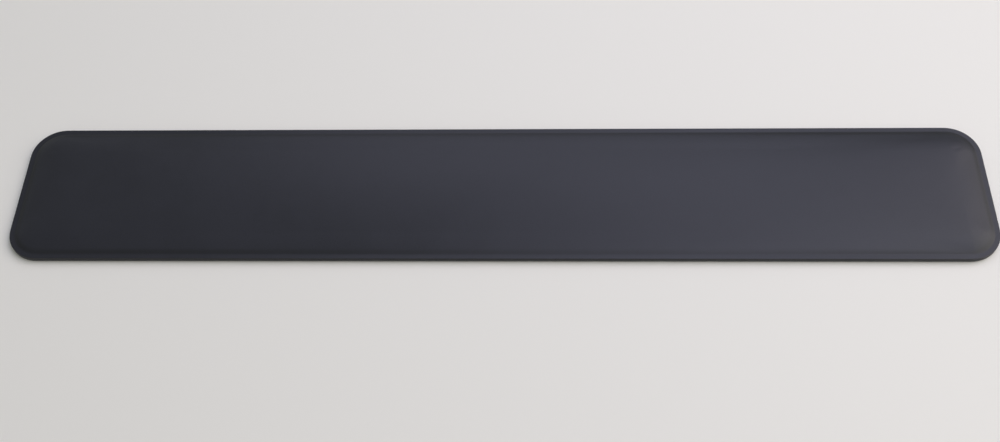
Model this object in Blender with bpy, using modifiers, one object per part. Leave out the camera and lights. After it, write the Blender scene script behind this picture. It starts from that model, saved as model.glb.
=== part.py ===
"""A slim padded wrist rest for the front of a full-size keyboard.

A leatherette skin is pressed over a low, domed foam core and bonded round a flat
rim to a moulded base sheet. The base is a shallow tray. A thin steel plate lies in
it, under the foam, and keeps the rest flat, and six rubber feet sit in pockets
under the base.

Metres, +Z up. The origin is on the desk, under the middle of the rest. +X runs
along the rest and +Y points at the keyboard.
"""

import math

import bmesh
import bpy

NAME = "wrist_rest"

# Outline, seen from above.
LENGTH = 0.420
DEPTH = 0.067
CORNER_RADIUS = 0.0140
CORNER_SEGMENTS = 10

# Skin and foam. The cushion rises from the flat rim by a small hollow crease, then by
# a shoulder that eases off over its reach and a shallow crown that runs on to the top.
# A margin is a distance in from the outline.
HEIGHT = 0.0055
SKIN_THICKNESS = 0.0006
RIM_WIDTH = 0.0020
CREASE_WIDTH = 0.0006
CREASE_RISE = 0.00012
CREASE_SEGMENTS = 3
SHOULDER_REACH = 0.0200
SHOULDER_RISE = 0.0020
SHOULDER_POWER = 3.5
CUSHION_MARGIN = RIM_WIDTH + CREASE_WIDTH
SHOULDER_MARGINS = (CUSHION_MARGIN, 0.0034, 0.0046, 0.0060, 0.0075, 0.0092, 0.0110)
CROWN_MARGINS = (0.0135, 0.0165, 0.0200, 0.0240, 0.0280, 0.0310)
CROWN_REACH = CROWN_MARGINS[-1] - CUSHION_MARGIN
SKIN_TO_FOAM = 0.0003
FOAM_EDGE = 2

# Flat layers, and the gap left between one layer and the next.
LAYER_GAP = 0.0001
FILM_THICKNESS = 0.0001
PLATE_THICKNESS = 0.0006
LIP_THICKNESS = 0.0012
FLOOR_THICKNESS = 0.0006
FILM_MARGIN = 0.0003
LIP_WIDTH = 0.0042
INSIDE_MARGIN = 0.0047

# Feet, in two rows of three.
FOOT_LENGTH = 0.060
FOOT_WIDTH = 0.0080
FOOT_CORNER_RADIUS = 0.0030
FOOT_PROUD = 0.0005
FOOT_CHAMFER = 0.00015
POCKET_DEPTH = 0.0003
POCKET_CLEARANCE = 0.0003
FOOT_COLUMNS = {"left": -0.146, "middle": 0.0, "right": 0.146}
FOOT_ROWS = {"front": -0.022, "rear": 0.022}

# Heights that follow from the stack.
BASE_BOTTOM = FOOT_PROUD
LIP_TOP = BASE_BOTTOM + LIP_THICKNESS
RIM_FILM_BOTTOM = LIP_TOP + LAYER_GAP
RIM_BOTTOM = RIM_FILM_BOTTOM + FILM_THICKNESS + LAYER_GAP
RIM_TOP = RIM_BOTTOM + SKIN_THICKNESS
CROWN_RISE = HEIGHT - RIM_TOP - CREASE_RISE - SHOULDER_RISE
FLOOR_TOP = BASE_BOTTOM + FLOOR_THICKNESS
PLATE_FILM_BOTTOM = FLOOR_TOP + LAYER_GAP
PLATE_BOTTOM = PLATE_FILM_BOTTOM + FILM_THICKNESS + LAYER_GAP
FOAM_FILM_BOTTOM = PLATE_BOTTOM + PLATE_THICKNESS + LAYER_GAP
FOAM_BOTTOM = FOAM_FILM_BOTTOM + FILM_THICKNESS + LAYER_GAP

SHARP_ANGLE = math.radians(35)


def finish(name, color, roughness, metallic=0.0):
    """Returns a plain material for one sub-part."""
    material = bpy.data.materials.new(name)
    material.use_nodes = True
    shader = material.node_tree.nodes["Principled BSDF"]
    shader.inputs["Base Color"].default_value = (*color, 1.0)
    shader.inputs["Roughness"].default_value = roughness
    shader.inputs["Metallic"].default_value = metallic
    material.diffuse_color = (*color, 1.0)
    return material


def add_object(name, data, material, parent, collection, location=(0.0, 0.0, 0.0)):
    """Links one named sub-part to the collection, under the parent empty."""
    piece = bpy.data.objects.new(name, data)
    piece.data.materials.append(material)
    piece.location = location
    piece.parent = parent
    collection.objects.link(piece)
    return piece


def to_mesh(name, bm):
    """Turns the bmesh into a smooth-shaded mesh with its real edges kept sharp."""
    bmesh.ops.recalc_face_normals(bm, faces=bm.faces)
    mesh = bpy.data.meshes.new(name)
    bm.to_mesh(mesh)
    bm.free()
    mesh.shade_smooth()
    mesh.set_sharp_from_angle(angle=SHARP_ANGLE)
    return mesh


def rounded_face(length, depth, radius, height=0.0):
    """Returns a bmesh that holds one flat rounded rectangle facing up."""
    bm = bmesh.new()
    corners = bmesh.ops.create_grid(bm, x_segments=1, y_segments=1, size=0.5)["verts"]
    bmesh.ops.scale(bm, verts=corners, vec=(length, depth, 1.0))
    bmesh.ops.translate(bm, verts=corners, vec=(0.0, 0.0, height))
    bmesh.ops.bevel(
        bm,
        geom=corners,
        offset=radius,
        offset_type="OFFSET",
        segments=CORNER_SEGMENTS,
        profile=0.5,
        affect="VERTICES",
    )
    return bm


def top_face(bm):
    """The highest face, and the largest of those at that height."""
    return max(
        bm.faces,
        key=lambda face: (round(face.calc_center_median().z, 7), face.calc_area()),
    )


def step_in(bm, inset, height):
    """Steps the top face in by the inset and sets it at the height."""
    face = top_face(bm)
    bmesh.ops.inset_region(
        bm, faces=[face], thickness=inset, use_even_offset=True, use_boundary=True
    )
    for vertex in face.verts:
        vertex.co.z = height


def scale_in(bm, margin, next_margin, height):
    """Steps the top face in by scaling, which suits corners too tight for an inset."""
    face = top_face(bm)
    bmesh.ops.inset_region(bm, faces=[face], thickness=0.0, use_boundary=True)
    factors = [
        (size / 2 - next_margin) / (size / 2 - margin) for size in (LENGTH, DEPTH)
    ]
    bmesh.ops.scale(bm, verts=face.verts, vec=(*factors, 1.0))
    for vertex in face.verts:
        vertex.co.z = height


def follow_profile(profile):
    """Raises a rounded rectangle through (distance in from the outline, height) points."""
    margin, height = profile[0]
    bm = rounded_face(
        LENGTH - 2 * margin, DEPTH - 2 * margin, CORNER_RADIUS - margin, height
    )
    for (margin, _), (next_margin, next_height) in zip(profile, profile[1:]):
        if next_margin < CROWN_MARGINS[0]:
            step_in(bm, next_margin - margin, next_height)
        else:
            scale_in(bm, margin, next_margin, next_height)
    return bm


def crease_points():
    """The hollow curve from the flat rim up to the cushion, without its last point."""
    points = []
    for step in range(CREASE_SEGMENTS):
        share = step / CREASE_SEGMENTS
        points.append(
            (RIM_WIDTH + CREASE_WIDTH * share, RIM_TOP + CREASE_RISE * share**2)
        )
    return points


def cushion_points(margins, inward):
    """The cushion's section at these margins, moved inward along its normals."""
    points = []
    for margin in margins:
        shoulder_left = max(0.0, 1 - (margin - CUSHION_MARGIN) / SHOULDER_REACH)
        crown_left = 1 - (margin - CUSHION_MARGIN) / CROWN_REACH
        height = (
            HEIGHT
            - SHOULDER_RISE * shoulder_left**SHOULDER_POWER
            - CROWN_RISE * crown_left**2
        )
        slope = (
            SHOULDER_RISE
            * SHOULDER_POWER
            / SHOULDER_REACH
            * shoulder_left ** (SHOULDER_POWER - 1)
            + 2 * CROWN_RISE / CROWN_REACH * crown_left
        )
        tilt = math.atan(slope)
        points.append(
            (margin + inward * math.sin(tilt), height - inward * math.cos(tilt))
        )
    return points


def make_skin():
    """The skin's outer surface, open below. Solidify gives it its thickness."""
    cushion = cushion_points(SHOULDER_MARGINS + CROWN_MARGINS, inward=0.0)
    profile = [(0.0, RIM_TOP), *crease_points(), *cushion]
    return to_mesh("cover_skin", follow_profile(profile))


def make_foam():
    """The foam core: flat below, and inside the skin by one gap everywhere."""
    margins = SHOULDER_MARGINS[FOAM_EDGE:] + CROWN_MARGINS
    cushion = cushion_points(margins, inward=SKIN_THICKNESS + SKIN_TO_FOAM)
    bm = follow_profile([(cushion[0][0], FOAM_BOTTOM), *cushion])
    bmesh.ops.holes_fill(bm, edges=[edge for edge in bm.edges if edge.is_boundary])
    return to_mesh("foam_core", bm)


def rounded_outline(margin):
    """The rest's outline, this far in from its edge, as a list of points."""
    radius = CORNER_RADIUS - margin
    points = []
    for corner, (side_x, side_y) in enumerate(((1, 1), (-1, 1), (-1, -1), (1, -1))):
        centre_x = side_x * (LENGTH / 2 - CORNER_RADIUS)
        centre_y = side_y * (DEPTH / 2 - CORNER_RADIUS)
        for step in range(CORNER_SEGMENTS + 1):
            angle = math.pi / 2 * (corner + step / CORNER_SEGMENTS)
            points.append(
                (
                    centre_x + radius * math.cos(angle),
                    centre_y + radius * math.sin(angle),
                )
            )
    return points


def make_layer(name, thickness, *margins):
    """A flat layer as a 2D curve. A second margin cuts its middle out."""
    curve = bpy.data.curves.new(name, "CURVE")
    curve.dimensions = "2D"
    curve.fill_mode = "BOTH"
    curve.extrude = thickness / 2
    for margin in margins:
        points = rounded_outline(margin)
        spline = curve.splines.new("POLY")
        spline.points.add(len(points) - 1)
        for point, (x, y) in zip(spline.points, points):
            point.co = (x, y, 0.0, 1.0)
        spline.use_cyclic_u = True
    return curve


def make_base():
    """The base sheet before its pockets: a shallow tray with a thick lip."""
    bm = rounded_face(LENGTH, DEPTH, CORNER_RADIUS)
    bottom = top_face(bm)
    raised = bmesh.ops.extrude_face_region(bm, geom=[bottom])["geom"]
    bmesh.ops.translate(
        bm,
        verts=[part for part in raised if isinstance(part, bmesh.types.BMVert)],
        vec=(0.0, 0.0, LIP_THICKNESS),
    )
    step_in(bm, LIP_WIDTH, LIP_THICKNESS)
    step_in(bm, 0.0, FLOOR_THICKNESS)
    return to_mesh("base_sheet", bm)


def make_pad(name, thickness, clearance=0.0):
    """A flat oblong pad that stands on its origin, for a foot or for a foot's pocket."""
    bm = rounded_face(
        FOOT_LENGTH + 2 * clearance,
        FOOT_WIDTH + 2 * clearance,
        FOOT_CORNER_RADIUS + clearance,
    )
    raised = bmesh.ops.extrude_face_region(bm, geom=list(bm.faces))["geom"]
    bmesh.ops.translate(
        bm,
        verts=[part for part in raised if isinstance(part, bmesh.types.BMVert)],
        vec=(0.0, 0.0, thickness),
    )
    return to_mesh(name, bm)


def round_lower_edge(piece):
    """Breaks the foot's edge where it meets the desk."""
    weights = piece.data.attributes.new("bevel_weight_edge", "FLOAT", "EDGE")
    for edge in piece.data.edges:
        ends = [piece.data.vertices[index].co.z for index in edge.vertices]
        weights.data[edge.index].value = 1.0 if max(ends) < FOOT_CHAMFER else 0.0
    bevel = piece.modifiers.new("Lower edge", "BEVEL")
    bevel.limit_method = "WEIGHT"
    bevel.width = FOOT_CHAMFER
    bevel.segments = 2


def cut_pockets(base, cutters, parent, material):
    """Cuts one pocket into the base sheet for each foot."""
    for row, y in FOOT_ROWS.items():
        for column, x in FOOT_COLUMNS.items():
            name = f"pocket_{row}_{column}"
            mesh = make_pad(name, POCKET_DEPTH + FOOT_PROUD, POCKET_CLEARANCE)
            cutter = add_object(name, mesh, material, parent, cutters, (x, y, 0.0))
            cutter.hide_render = True
            cutter.display_type = "WIRE"
            cut = base.modifiers.new(name, "BOOLEAN")
            cut.operation = "DIFFERENCE"
            cut.solver = "EXACT"
            cut.object = cutter


def main():
    """Builds every sub-part."""
    for item in list(bpy.data.objects):
        bpy.data.objects.remove(item, do_unlink=True)
    scene = bpy.context.scene
    collection = bpy.data.collections.new(NAME)
    cutters = bpy.data.collections.new("cutters")
    scene.collection.children.link(collection)
    scene.collection.children.link(cutters)
    centre = bpy.data.objects.new(f"{NAME}_centre", None)
    collection.objects.link(centre)

    leatherette = finish("leatherette", (0.022, 0.023, 0.028), 0.50)
    foam = finish("foam", (0.10, 0.10, 0.11), 0.95)
    adhesive = finish("adhesive_film", (0.55, 0.53, 0.47), 0.45)
    steel = finish("steel_plate", (0.56, 0.57, 0.58), 0.35, 1.0)
    base_plastic = finish("base_plastic", (0.030, 0.031, 0.036), 0.70)
    rubber = finish("foot_rubber", (0.018, 0.018, 0.019), 0.85)

    skin = add_object("cover_skin", make_skin(), leatherette, centre, collection)
    shell = skin.modifiers.new("Skin thickness", "SOLIDIFY")
    shell.thickness = SKIN_THICKNESS
    shell.offset = -1.0
    shell.use_even_offset = True

    add_object("foam_core", make_foam(), foam, centre, collection)

    layers = {
        "foam_bond_film": (FOAM_FILM_BOTTOM, FILM_THICKNESS, adhesive, INSIDE_MARGIN),
        "stiffener_plate": (PLATE_BOTTOM, PLATE_THICKNESS, steel, INSIDE_MARGIN),
        "plate_bond_film": (PLATE_FILM_BOTTOM, FILM_THICKNESS, adhesive, INSIDE_MARGIN),
    }
    for name, (bottom, thickness, material, margin) in layers.items():
        middle = (0.0, 0.0, bottom + thickness / 2)
        layer = make_layer(name, thickness, margin)
        add_object(name, layer, material, centre, collection, middle)

    ring = make_layer(
        "rim_bond_ring", FILM_THICKNESS, FILM_MARGIN, RIM_WIDTH
    )
    ring_middle = (0.0, 0.0, RIM_FILM_BOTTOM + FILM_THICKNESS / 2)
    add_object("rim_bond_ring", ring, adhesive, centre, collection, ring_middle)

    base = add_object(
        "base_sheet",
        make_base(),
        base_plastic,
        centre,
        collection,
        (0.0, 0.0, BASE_BOTTOM),
    )
    cut_pockets(base, cutters, centre, base_plastic)

    foot_height = FOOT_PROUD + POCKET_DEPTH - LAYER_GAP
    for row, y in FOOT_ROWS.items():
        for column, x in FOOT_COLUMNS.items():
            name = f"foot_{row}_{column}"
            mesh = make_pad(name, foot_height)
            foot = add_object(name, mesh, rubber, centre, collection, (x, y, 0.0))
            round_lower_edge(foot)


main()
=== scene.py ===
"""The finished look of a slim padded wrist rest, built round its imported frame.

The rest is a foam cushion under a pressed leatherette skin, bonded by a flat rim to
a moulded base sheet with six rubber feet. Metres, +Z up, +Y towards the keyboard.
"""

import logging
import math
from collections.abc import Callable, Mapping, Sequence
from dataclasses import dataclass
from enum import Enum

import bmesh
import bpy
from mathutils import Matrix, Vector, noise


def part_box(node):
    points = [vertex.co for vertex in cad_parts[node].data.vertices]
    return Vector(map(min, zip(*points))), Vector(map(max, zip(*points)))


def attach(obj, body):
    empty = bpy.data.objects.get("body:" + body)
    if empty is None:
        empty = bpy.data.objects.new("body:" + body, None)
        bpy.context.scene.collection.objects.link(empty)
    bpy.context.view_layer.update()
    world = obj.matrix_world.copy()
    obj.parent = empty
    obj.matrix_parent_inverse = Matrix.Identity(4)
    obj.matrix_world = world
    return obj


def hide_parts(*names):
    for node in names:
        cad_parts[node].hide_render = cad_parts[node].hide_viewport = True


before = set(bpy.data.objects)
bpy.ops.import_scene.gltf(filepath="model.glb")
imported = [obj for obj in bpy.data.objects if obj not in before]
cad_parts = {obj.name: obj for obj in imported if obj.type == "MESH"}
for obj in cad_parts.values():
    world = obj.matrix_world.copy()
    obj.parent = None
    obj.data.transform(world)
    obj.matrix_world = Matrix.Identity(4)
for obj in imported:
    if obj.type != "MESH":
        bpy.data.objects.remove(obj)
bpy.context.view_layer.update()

MM = 0.001
LEVEL_NORMAL = 0.9  # the least upright part of a level face's normal
CORNER_EDGE = 10 * MM  # longer than any edge on a rounded corner
SAME_HEIGHT = 0.01 * MM  # two heights no further apart than this are level
BODY = "root"
log = logging.getLogger("wrist_rest")

Color = tuple[float, float, float]
Feed = bpy.types.NodeSocket | float | tuple[float, ...]


class Element(Enum):
    """What an edit-mode selection is made of."""

    VERTEX = "VERT"
    EDGE = "EDGE"
    FACE = "FACE"


class Slot(Enum):
    """The record's material slots."""

    LEATHERETTE = "leatherette"
    FOAM = "foam"
    FILM = "adhesive_film"
    STEEL = "steel_plate"
    BASE = "base_plastic"
    RUBBER = "foot_rubber"


# ---------------------------------------------------------------- plan and stack


@dataclass(frozen=True)
class Outline:
    """The rest's rounded outline, seen from above and centred on the origin.

    Attributes:
        length: Size along X.
        depth: Size along Y.
        radius: Radius of the four corners.
    """

    length: float
    depth: float
    radius: float

    def margin(self, x: float, y: float) -> float:
        """Returns how far in from the outline a point is."""
        across = abs(x) - self.length / 2 + self.radius
        along = abs(y) - self.depth / 2 + self.radius
        corner = math.hypot(max(across, 0.0), max(along, 0.0))
        return self.radius - corner - min(max(across, along), 0.0)


def node_levels(node: str) -> tuple[float, float]:
    """Returns the heights of a CAD node's lowest and highest points."""
    low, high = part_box(node)
    return low.z, high.z


# ---------------------------------------------------------------- modelling


class Workpiece:
    """One object under the modelling operators, in edit mode until it is let go."""

    def __init__(self, piece: bpy.types.Object) -> None:
        """Takes an object into edit mode.

        Args:
            piece: The object to shape.
        """
        make_active(piece)
        bpy.ops.object.mode_set(mode="EDIT")
        self.piece = piece

    @classmethod
    def plane(cls, name: str, length: float, depth: float, height: float) -> "Workpiece":
        """Starts from a flat rectangle that faces up.

        Args:
            name: The piece's name.
            length: Size along X.
            depth: Size along Y.
            height: Height above the desk.

        Returns:
            The workpiece, with its one face selected.
        """
        clear_selection()
        bpy.ops.mesh.primitive_plane_add(size=1.0, location=(0.0, 0.0, height))
        piece = bpy.context.object
        piece.name = piece.data.name = name
        piece.scale = (length, depth, 1.0)
        bpy.ops.object.transform_apply(location=True, rotation=True, scale=True)
        work = cls(piece)
        bpy.ops.mesh.select_all(action="SELECT")
        return work

    def pick(self, element: Element, test: Callable[[object], bool]) -> None:
        """Selects just the elements that pass a test.

        Args:
            element: Whether vertices, edges or faces are tested.
            test: Says whether one of them is wanted.
        """
        bpy.ops.mesh.select_mode(type=element.value)
        bpy.ops.mesh.select_all(action="DESELECT")
        cage = bmesh.from_edit_mesh(self.piece.data)
        parts = {
            Element.VERTEX: cage.verts,
            Element.EDGE: cage.edges,
            Element.FACE: cage.faces,
        }[element]
        for part in parts:
            if test(part):
                part.select_set(True)
        cage.select_flush_mode()
        bmesh.update_edit_mesh(self.piece.data)

    def round_corners(self, radius: float, segments: int) -> None:
        """Rounds the selected flat face's corners.

        Args:
            radius: The corners' radius.
            segments: Edges on each quarter circle.
        """
        self.pick(Element.VERTEX, lambda vertex: True)
        bpy.ops.mesh.bevel(
            offset_type="OFFSET",
            offset=radius,
            segments=segments,
            profile=0.5,
            affect="VERTICES",
        )
        self.pick(Element.FACE, lambda face: True)

    def divide_side(self, axis: int, side: int, parts: int) -> None:
        """Divides one straight side of a rounded face.

        Args:
            axis: 0 for a side that runs along X, 1 for one along Y.
            side: +1 or -1, the side of the centre that it is on.
            parts: How many equal edges it becomes.
        """
        other = 1 - axis

        def is_side(edge: bmesh.types.BMEdge) -> bool:
            start, end = (vertex.co for vertex in edge.verts)
            straight = abs(end[axis] - start[axis]) > abs(end[other] - start[other])
            long = abs(end[axis] - start[axis]) > CORNER_EDGE
            return straight and long and (start[other] + end[other]) * side > 0

        self.pick(Element.EDGE, is_side)
        bpy.ops.mesh.subdivide(number_cuts=parts - 1)

    def inset(self, step: float, rise: float = 0.0) -> None:
        """Insets the selected faces as one region, and raises them along their normal."""
        bpy.ops.mesh.inset(
            thickness=step, depth=rise, use_boundary=True, use_even_offset=True
        )

    def extrude(self, rise: float) -> None:
        """Extrudes the selected faces straight up."""
        bpy.ops.mesh.extrude_region_move(
            TRANSFORM_OT_translate={"value": (0.0, 0.0, rise)}
        )

    def face_outwards(self) -> None:
        """Turns every face outwards."""
        bpy.ops.mesh.select_all(action="SELECT")
        bpy.ops.mesh.normals_make_consistent(inside=False)

    def let_go(self) -> bpy.types.Object:
        """Leaves edit mode.

        Returns:
            The shaped object.
        """
        bpy.ops.object.mode_set(mode="OBJECT")
        return self.piece


def faces_up(face: bmesh.types.BMFace) -> bool:
    """Says whether a face looks up."""
    return face.normal.z > LEVEL_NORMAL


def faces_down(face: bmesh.types.BMFace) -> bool:
    """Says whether a face looks down."""
    return face.normal.z < -LEVEL_NORMAL


def clear_selection() -> None:
    """Deselects every object."""
    bpy.ops.object.select_all(action="DESELECT")


def make_active(piece: bpy.types.Object) -> None:
    """Makes a piece the only selected and the active object."""
    clear_selection()
    piece.select_set(True)
    bpy.context.view_layer.objects.active = piece


def apply_modifier(piece: bpy.types.Object, kind: str, **settings: object) -> None:
    """Adds a modifier to a piece and applies it at once.

    Args:
        piece: The piece it works on.
        kind: The modifier's type.
        **settings: The modifier's properties.
    """
    make_active(piece)
    modifier = piece.modifiers.new(kind.title(), kind)
    for name, value in settings.items():
        setattr(modifier, name, value)
    bpy.ops.object.modifier_apply(modifier=modifier.name)


def round_edges(piece: bpy.types.Object, width: float, angle: float) -> None:
    """Rounds a piece's sharp edges.

    Args:
        piece: The piece to round.
        width: The rounding's width.
        angle: Degrees past which an edge counts as sharp.
    """
    apply_modifier(
        piece,
        "BEVEL",
        width=width,
        segments=2,
        limit_method="ANGLE",
        angle_limit=math.radians(angle),
    )


def move_to(piece: bpy.types.Object, centre: Vector) -> None:
    """Moves a piece's mesh sideways, so that its middle is over a point."""
    piece.data.transform(Matrix.Translation((centre.x, centre.y, 0.0)))


def copy_of(piece: bpy.types.Object, name: str) -> bpy.types.Object:
    """Copies a piece with a mesh of its own.

    Args:
        piece: The piece to copy.
        name: The copy's name.

    Returns:
        The copy, linked to the scene.
    """
    made = piece.copy()
    made.data = piece.data.copy()
    made.name = made.data.name = name
    bpy.context.collection.objects.link(made)
    return made


def smooth(piece: bpy.types.Object, angle: float) -> None:
    """Shades a piece smooth, apart from edges sharper than the angle in degrees."""
    make_active(piece)
    bpy.ops.object.shade_smooth_by_angle(angle=math.radians(angle))


def place(
    piece: bpy.types.Object,
    material: bpy.types.Material,
    slot: Slot,
    nodes: Sequence[str] = (),
) -> None:
    """Dresses a finished piece, hangs it on the body and hides the CAD nodes it stands for.

    Args:
        piece: The finished piece.
        material: Its finish.
        slot: The record's slot of that finish. Not used.
        nodes: The CAD nodes that it replaces.
    """
    piece.data.materials.clear()
    piece.data.materials.append(material)
    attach(piece, BODY)
    if nodes:
        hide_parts(*nodes)
    log.info("%s: %d faces, for %s", piece.name, len(piece.data.polygons), nodes)


# ---------------------------------------------------------------- the cushion


@dataclass(frozen=True)
class AirPress:
    """Light air pressure under the skin, which crowns it while its rim is held.

    Attributes:
        pressure: Force on the skin.
        frames: Steps that the cloth is given.
        quality: Solver steps in each frame.
        bending: The skin's stiffness against bending.
    """

    pressure: float = 0.8
    frames: int = 20
    quality: int = 8
    bending: float = 0.5

    def run(
        self,
        piece: bpy.types.Object,
        is_held: Callable[[Vector], bool],
        travel: float,
    ) -> None:
        """Presses the piece, then keeps the shape and removes the cloth.

        Args:
            piece: The open surface to crown.
            is_held: Says whether a point is clamped.
            travel: The furthest that any point has moved at the end.
        """
        mesh = piece.data
        start = [vertex.co.copy() for vertex in mesh.vertices]
        held = piece.vertex_groups.new(name="held")
        held.add([i for i, point in enumerate(start) if is_held(point)], 1.0, "REPLACE")
        cloth = piece.modifiers.new("Air press", "CLOTH")
        cloth.settings.quality = self.quality
        cloth.settings.vertex_group_mass = held.name
        cloth.settings.use_pressure = True
        cloth.settings.uniform_pressure_force = self.pressure
        cloth.settings.bending_stiffness = self.bending
        cloth.settings.effector_weights.gravity = 0.0
        cloth.collision_settings.use_collision = False
        cloth.point_cache.frame_start = 1
        cloth.point_cache.frame_end = self.frames
        scene = bpy.context.scene
        for step in range(1, self.frames + 1):
            scene.frame_set(step)
        graph = bpy.context.evaluated_depsgraph_get()
        pressed = [vertex.co.copy() for vertex in piece.evaluated_get(graph).data.vertices]
        piece.modifiers.remove(cloth)
        piece.vertex_groups.remove(held)
        furthest = max((after - before).length for before, after in zip(start, pressed))
        share = travel / furthest
        for vertex, before, after in zip(mesh.vertices, start, pressed):
            vertex.co = before.lerp(after, share)
        scene.frame_set(1)
        log.info("air press: %.2f mm, kept %.2f mm", furthest / MM, travel / MM)


@dataclass(frozen=True)
class CushionShape:
    """The skin's outer surface: flat rim, hollow crease, soft shoulder and crown.

    Attributes:
        outline: The rest's outline.
        rim_top: Height of the rim's upper face.
        top: Height of the crown.
        rim_width: From the outline to the crease.
        edge_band: Width of the outermost strip of the rim.
        crease_width: Width of the crease.
        crease_rise: Height gained over the crease.
        crease_steps: Steps over it.
        held_reach: How far past the crease the press holds the skin down.
        shoulder_reach: How far in the shoulder runs from the crease.
        shoulder_rise: Height gained over the shoulder.
        shoulder_power: How quickly the shoulder eases off.
        grid_margin: Where the rings along the outline give way to a plain grid.
        ring_steps: Rings from the crease to there.
        first_ring: The first ring's step, as a share of an even one.
        corner_steps: Steps round each corner of the outline.
        long_steps: Steps along each long straight side.
        short_steps: Steps along each short straight side.
        wave_height: Height of the slight unevenness of the padding.
        wave_length: Its length.
        press: The air press that crowns the cushion.
    """

    outline: Outline
    rim_top: float
    top: float
    rim_width: float = 2.0 * MM
    edge_band: float = 0.35 * MM
    crease_width: float = 0.6 * MM
    crease_rise: float = 0.12 * MM
    crease_steps: int = 4
    held_reach: float = 0.1 * MM
    shoulder_reach: float = 20.0 * MM
    shoulder_rise: float = 2.0 * MM
    shoulder_power: float = 4.0
    grid_margin: float = 11.0 * MM
    ring_steps: int = 11
    first_ring: float = 0.4
    corner_steps: int = 12
    long_steps: int = 96
    short_steps: int = 12
    wave_height: float = 0.04 * MM
    wave_length: float = 45.0 * MM
    press: AirPress = AirPress()

    @property
    def cushion_margin(self) -> float:
        """Where the crease ends and the cushion begins."""
        return self.rim_width + self.crease_width

    @property
    def crown_rise(self) -> float:
        """Height that the air press adds in the middle."""
        return self.top - self.rim_top - self.crease_rise - self.shoulder_rise

    def shoulder_height(self, margin: float) -> float:
        """Returns the cushion's height this far in, before it is crowned."""
        past = (margin - self.cushion_margin) / self.shoulder_reach
        left = min(max(1.0 - past, 0.0), 1.0) ** self.shoulder_power
        return self.rim_top + self.crease_rise + self.shoulder_rise * (1.0 - left)

    def profile(self) -> list[tuple[float, float]]:
        """Returns (margin, height) points from the rim's edge to the grid."""
        points = [(0.0, self.rim_top), (self.edge_band, self.rim_top)]
        points.append(((self.edge_band + self.rim_width) / 2, self.rim_top))
        for step in range(self.crease_steps):
            share = step / self.crease_steps
            margin = self.rim_width + self.crease_width * share
            points.append((margin, self.rim_top + self.crease_rise * share**2))
        reach = self.grid_margin - self.cushion_margin
        for step in range(self.ring_steps + 1):
            share = step / self.ring_steps
            spread = self.first_ring + (1.0 - self.first_ring) * share
            margin = self.cushion_margin + reach * share * spread
            points.append((margin, self.shoulder_height(margin)))
        return points

    def open_surface(self, name: str) -> bpy.types.Object:
        """Models the surface, open below and not yet crowned.

        Args:
            name: The object's name.

        Returns:
            The open surface.
        """
        plan = self.outline
        work = Workpiece.plane(name, plan.length, plan.depth, self.rim_top)
        work.round_corners(plan.radius, self.corner_steps)
        for side in (-1, 1):
            work.divide_side(0, side, self.long_steps)
            work.divide_side(1, side, self.short_steps)
        work.pick(Element.FACE, lambda face: True)
        points = self.profile()
        for (margin, height), (next_margin, next_height) in zip(points, points[1:]):
            work.inset(next_margin - margin, next_height - height)
        bpy.ops.mesh.delete(type="ONLY_FACE")
        self.fill_top(work, points[-1][1])
        surface = work.let_go()
        for vertex in surface.data.vertices:
            margin = plan.margin(vertex.co.x, vertex.co.y)
            if margin > self.grid_margin:
                vertex.co.z = self.shoulder_height(margin)
        return surface

    def fill_top(self, work: Workpiece, height: float) -> None:
        """Fills the flat top with a grid whose lines run along and across.

        Args:
            work: The workpiece, open at the top.
            height: The open edge's height.
        """
        work.pick(
            Element.EDGE,
            lambda edge: edge.is_boundary
            and all(abs(vertex.co.z - height) < SAME_HEIGHT for vertex in edge.verts),
        )
        cage = bmesh.from_edit_mesh(work.piece.data)
        corner = max(
            (vertex for vertex in cage.verts if vertex.select),
            key=lambda vertex: vertex.co.x + vertex.co.y,
        )
        cage.select_history.clear()
        cage.select_history.add(corner)
        bmesh.update_edit_mesh(work.piece.data)
        bpy.ops.mesh.fill_grid(span=self.short_steps + self.corner_steps, offset=0)

    def crown(self, surface: bpy.types.Object) -> None:
        """Crowns the top and gives it the padding's slight unevenness.

        Args:
            surface: The open surface, which is changed.
        """
        plan = self.outline
        held_margin = self.cushion_margin + self.held_reach
        self.press.run(
            surface,
            lambda point: plan.margin(point.x, point.y) < held_margin,
            self.crown_rise,
        )
        for vertex in surface.data.vertices:
            point = vertex.co
            past = plan.margin(point.x, point.y) - self.cushion_margin
            share = min(max(past / self.shoulder_reach, 0.0), 1.0)
            wave = noise.noise(point / self.wave_length)
            eased = share * share * (3 - 2 * share)
            point.z += self.wave_height * wave * eased


@dataclass
class CoverSkin:
    """The leatherette skin: one sheet, pressed over the foam and flat along its rim.

    Attributes:
        shape: Its outer surface.
        thickness: The sheet's thickness.
        edge_round: Radius of the cut edge's corners.
    """

    shape: CushionShape
    thickness: float = 0.6 * MM
    edge_round: float = 0.12 * MM

    def build(self, surface: bpy.types.Object) -> bpy.types.Object:
        """Makes the finished skin from a copy of the crowned surface.

        Args:
            surface: The crowned, open surface.

        Returns:
            The closed skin.
        """
        skin = copy_of(surface, "leatherette_skin")
        apply_modifier(skin, "SUBSURF", levels=1, render_levels=1)
        apply_modifier(
            skin,
            "SOLIDIFY",
            thickness=self.thickness,
            offset=-1.0,
            use_even_offset=True,
        )
        round_edges(skin, self.edge_round, angle=60.0)
        smooth(skin, angle=40.0)
        return skin


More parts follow.
